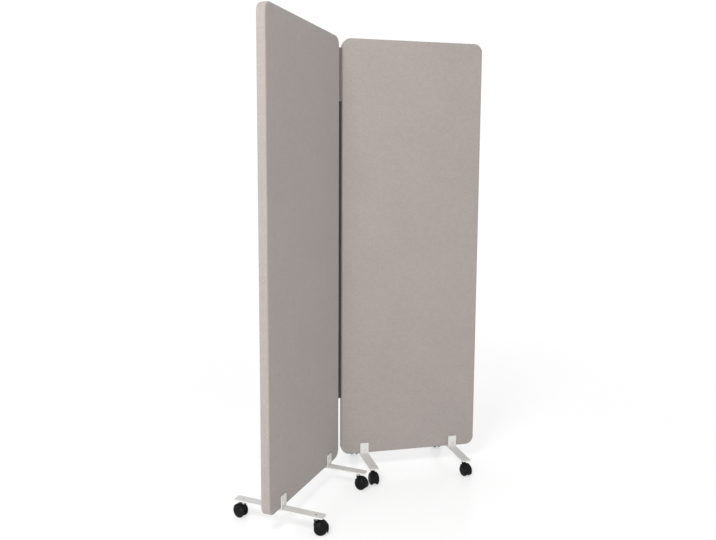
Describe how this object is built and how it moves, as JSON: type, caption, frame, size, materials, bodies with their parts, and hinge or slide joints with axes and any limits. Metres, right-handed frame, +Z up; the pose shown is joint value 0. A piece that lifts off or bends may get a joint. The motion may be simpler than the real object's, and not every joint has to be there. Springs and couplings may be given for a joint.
{
  "type": "mobile acoustic partition screen",
  "caption": "Free-standing folding screen of fabric-covered panels, zipped edge to edge, on flat-bar feet with swivelling twin-wheel casters.",
  "frame": {"origin": "on the floor under the middle of the whole footprint", "axes": "+Z up, +X along the right panel away from the fold, -Y towards the inner side of the fold"},
  "size_m": [1.0816, 0.7276, 1.8],
  "materials": {
    "cover_fabric": "woven wool-look cloth",
    "frame_timber": "planed softwood",
    "acoustic_felt": "pressed fibre board",
    "powder_coat": "light grey powder coat",
    "zinc_plate": "bright zinc",
    "hood_plastic": "moulded nylon",
    "wheel_plastic": "moulded nylon",
    "zip_tape": "black woven tape",
    "zip_teeth": "nylon",
    "zip_metal": "black enamel"
  },
  "bodies": {
    "right_panel": {"right_front_cover": "cover_fabric", "right_rear_cover": "cover_fabric", "right_rails": "frame_timber", "right_stiles": "frame_timber", "right_core": "acoustic_felt", "right_hinge_foot_bar": "powder_coat", "right_hinge_foot_saddle": "powder_coat", "right_free_foot_bar": "powder_coat", "right_free_foot_saddle": "powder_coat", "right_clamp_screws": "powder_coat", "right_clamp_nuts": "powder_coat", "right_caster_stems": "zinc_plate", "right_lock_nuts": "zinc_plate"},
    "left_panel": {"left_front_cover": "cover_fabric", "left_rear_cover": "cover_fabric", "left_rails": "frame_timber", "left_stiles": "frame_timber", "left_core": "acoustic_felt", "left_hinge_foot_bar": "powder_coat", "left_hinge_foot_saddle": "powder_coat", "left_free_foot_bar": "powder_coat", "left_free_foot_saddle": "powder_coat", "left_clamp_screws": "powder_coat", "left_clamp_nuts": "powder_coat", "left_caster_stems": "zinc_plate", "left_lock_nuts": "zinc_plate"},
    "zip_web": {"zip_tape_right": "zip_tape", "zip_tape_left": "zip_tape", "zip_teeth_right": "zip_teeth", "zip_teeth_left": "zip_teeth", "zip_head_flap": "cover_fabric", "zip_retainer_box": "zip_metal"},
    "zip_slider": {"zip_slider": "zip_metal"},
    "zip_pull": {"zip_pull": "zip_metal"},
    "right_hinge_front_caster": {"right_hinge_front_caster_hood": "hood_plastic"},
    "right_hinge_front_wheel_a": {"right_hinge_front_wheel_a": "wheel_plastic"},
    "right_hinge_front_wheel_b": {"right_hinge_front_wheel_b": "wheel_plastic"},
    "right_hinge_rear_caster": {"right_hinge_rear_caster_hood": "hood_plastic"},
    "right_hinge_rear_wheel_a": {"right_hinge_rear_wheel_a": "wheel_plastic"},
    "right_hinge_rear_wheel_b": {"right_hinge_rear_wheel_b": "wheel_plastic"},
    "right_free_front_caster": {"right_free_front_caster_hood": "hood_plastic"},
    "right_free_front_wheel_a": {"right_free_front_wheel_a": "wheel_plastic"},
    "right_free_front_wheel_b": {"right_free_front_wheel_b": "wheel_plastic"},
    "right_free_rear_caster": {"right_free_rear_caster_hood": "hood_plastic"},
    "right_free_rear_wheel_a": {"right_free_rear_wheel_a": "wheel_plastic"},
    "right_free_rear_wheel_b": {"right_free_rear_wheel_b": "wheel_plastic"},
    "right_free_rear_pedal": {"right_free_rear_brake_pedal": "hood_plastic"},
    "left_hinge_front_caster": {"left_hinge_front_caster_hood": "hood_plastic"},
    "left_hinge_front_wheel_a": {"left_hinge_front_wheel_a": "wheel_plastic"},
    "left_hinge_front_wheel_b": {"left_hinge_front_wheel_b": "wheel_plastic"},
    "left_hinge_rear_caster": {"left_hinge_rear_caster_hood": "hood_plastic"},
    "left_hinge_rear_wheel_a": {"left_hinge_rear_wheel_a": "wheel_plastic"},
    "left_hinge_rear_wheel_b": {"left_hinge_rear_wheel_b": "wheel_plastic"},
    "left_free_front_caster": {"left_free_front_caster_hood": "hood_plastic"},
    "left_free_front_wheel_a": {"left_free_front_wheel_a": "wheel_plastic"},
    "left_free_front_wheel_b": {"left_free_front_wheel_b": "wheel_plastic"},
    "left_free_front_pedal": {"left_free_front_brake_pedal": "hood_plastic"},
    "left_free_rear_caster": {"left_free_rear_caster_hood": "hood_plastic"},
    "left_free_rear_wheel_a": {"left_free_rear_wheel_a": "wheel_plastic"},
    "left_free_rear_wheel_b": {"left_free_rear_wheel_b": "wheel_plastic"}
  },
  "joints": [
    {"name": "fold_right_edge", "type": "hinge", "parent": "right_panel", "child": "zip_web", "pos_m": [-0.05923, 0.17149, 0], "axis": [0, 0, -1], "range_deg": [0, 52.5]},
    {"name": "fold_left_edge", "type": "hinge", "parent": "zip_web", "child": "left_panel", "pos_m": [-0.0878, 0.15709, 0], "axis": [0, 0, -1], "range_deg": [0, 52.5]},
    {"name": "zip_slide", "type": "slide", "parent": "zip_web", "child": "zip_slider", "axis": [0, 0, -1], "range_m": [0, 1.205]},
    {"name": "zip_pull_swing", "type": "hinge", "parent": "zip_slider", "child": "zip_pull", "pos_m": [-0.07567, 0.16857, 1.5474], "axis": [0.893, 0.4501, 0], "range_deg": [0, 150]},
    {"name": "right_hinge_front_swivel", "type": "hinge", "parent": "right_panel", "child": "right_hinge_front_caster", "pos_m": [0.04077, 0.02449, 0.053], "axis": [0, 0, 1], "continuous": true},
    {"name": "right_hinge_front_roll_a", "type": "hinge", "parent": "right_hinge_front_caster", "child": "right_hinge_front_wheel_a", "pos_m": [0.0413, 0.0095, 0.024], "axis": [0.9994, 0.0349, 0], "continuous": true},
    {"name": "right_hinge_front_roll_b", "type": "hinge", "parent": "right_hinge_front_caster", "child": "right_hinge_front_wheel_b", "pos_m": [0.0413, 0.0095, 0.024], "axis": [0.9994, 0.0349, 0], "continuous": true},
    {"name": "right_hinge_rear_swivel", "type": "hinge", "parent": "right_panel", "child": "right_hinge_rear_caster", "pos_m": [0.04077, 0.31849, 0.053], "axis": [0, 0, 1], "continuous": true},
    {"name": "right_hinge_rear_roll_a", "type": "hinge", "parent": "right_hinge_rear_caster", "child": "right_hinge_rear_wheel_a", "pos_m": [0.04234, 0.33341, 0.024], "axis": [-0.9945, 0.1045, 0], "continuous": true},
    {"name": "right_hinge_rear_roll_b", "type": "hinge", "parent": "right_hinge_rear_caster", "child": "right_hinge_rear_wheel_b", "pos_m": [0.04234, 0.33341, 0.024], "axis": [-0.9945, 0.1045, 0], "continuous": true},
    {"name": "right_free_front_swivel", "type": "hinge", "parent": "right_panel", "child": "right_free_front_caster", "pos_m": [0.44077, 0.02449, 0.053], "axis": [0, 0, 1], "continuous": true},
    {"name": "right_free_front_roll_a", "type": "hinge", "parent": "right_free_front_caster", "child": "right_free_front_wheel_a", "pos_m": [0.44415, 0.00987, 0.024], "axis": [0.9744, 0.225, 0], "continuous": true},
    {"name": "right_free_front_roll_b", "type": "hinge", "parent": "right_free_front_caster", "child": "right_free_front_wheel_b", "pos_m": [0.44415, 0.00987, 0.024], "axis": [0.9744, 0.225, 0], "continuous": true},
    {"name": "right_free_rear_swivel", "type": "hinge", "parent": "right_panel", "child": "right_free_rear_caster", "pos_m": [0.44077, 0.31849, 0.053], "axis": [0, 0, 1], "continuous": true},
    {"name": "right_free_rear_roll_a", "type": "hinge", "parent": "right_free_rear_caster", "child": "right_free_rear_wheel_a", "pos_m": [0.43869, 0.33334, 0.024], "axis": [-0.9903, -0.1392, 0], "continuous": true},
    {"name": "right_free_rear_roll_b", "type": "hinge", "parent": "right_free_rear_caster", "child": "right_free_rear_wheel_b", "pos_m": [0.43869, 0.33334, 0.024], "axis": [-0.9903, -0.1392, 0], "continuous": true},
    {"name": "right_free_rear_brake", "type": "hinge", "parent": "right_free_rear_caster", "child": "right_free_rear_pedal", "pos_m": [0.43525, 0.35777, 0.03498], "axis": [0.9903, 0.1392, 0], "range_deg": [0, 18]},
    {"name": "left_hinge_front_swivel", "type": "hinge", "parent": "left_panel", "child": "left_hinge_front_caster", "pos_m": [-0.02912, -0.01074, 0.053], "axis": [0, 0, 1], "continuous": true},
    {"name": "left_hinge_front_roll_a", "type": "hinge", "parent": "left_hinge_front_caster", "child": "left_hinge_front_wheel_a", "pos_m": [-0.01908, -0.02189, 0.024], "axis": [0.7431, 0.6691, 0], "continuous": true},
    {"name": "left_hinge_front_roll_b", "type": "hinge", "parent": "left_hinge_front_caster", "child": "left_hinge_front_wheel_b", "pos_m": [-0.01908, -0.02189, 0.024], "axis": [0.7431, 0.6691, 0], "continuous": true},
    {"name": "left_hinge_rear_swivel", "type": "hinge", "parent": "left_panel", "child": "left_hinge_rear_caster", "pos_m": [-0.26545, 0.16414, 0.053], "axis": [0, 0, 1], "continuous": true},
    {"name": "left_hinge_rear_roll_a", "type": "hinge", "parent": "left_hinge_rear_caster", "child": "left_hinge_rear_wheel_a", "pos_m": [-0.27844, 0.17164, 0.024], "axis": [-0.5, -0.866, 0], "continuous": true},
    {"name": "left_hinge_rear_roll_b", "type": "hinge", "parent": "left_hinge_rear_caster", "child": "left_hinge_rear_wheel_b", "pos_m": [-0.27844, 0.17164, 0.024], "axis": [-0.5, -0.866, 0], "continuous": true},
    {"name": "left_free_front_swivel", "type": "hinge", "parent": "left_panel", "child": "left_free_front_caster", "pos_m": [-0.26705, -0.33228, 0.053], "axis": [0, 0, 1], "continuous": true},
    {"name": "left_free_front_roll_a", "type": "hinge", "parent": "left_free_front_caster", "child": "left_free_front_wheel_a", "pos_m": [-0.25237, -0.3354, 0.024], "axis": [0.2079, 0.9781, 0], "continuous": true},
    {"name": "left_free_front_roll_b", "type": "hinge", "parent": "left_free_front_caster", "child": "left_free_front_wheel_b", "pos_m": [-0.25237, -0.3354, 0.024], "axis": [0.2079, 0.9781, 0], "continuous": true},
    {"name": "left_free_front_brake", "type": "hinge", "parent": "left_free_front_caster", "child": "left_free_front_pedal", "pos_m": [-0.22825, -0.34053, 0.03498], "axis": [-0.2079, -0.9781, 0], "range_deg": [0, 18]},
    {"name": "left_free_rear_swivel", "type": "hinge", "parent": "left_panel", "child": "left_free_rear_caster", "pos_m": [-0.50338, -0.1574, 0.053], "axis": [0, 0, 1], "continuous": true},
    {"name": "left_free_rear_roll_a", "type": "hinge", "parent": "left_free_rear_caster", "child": "left_free_rear_wheel_a", "pos_m": [-0.51342, -0.14626, 0.024], "axis": [-0.7431, -0.6691, 0], "continuous": true},
    {"name": "left_free_rear_roll_b", "type": "hinge", "parent": "left_free_rear_caster", "child": "left_free_rear_wheel_b", "pos_m": [-0.51342, -0.14626, 0.024], "axis": [-0.7431, -0.6691, 0], "continuous": true}
  ],
  "couplings": [
    {"joint": "fold_left_edge", "follows": "fold_right_edge", "ratio": 1}
  ]
}
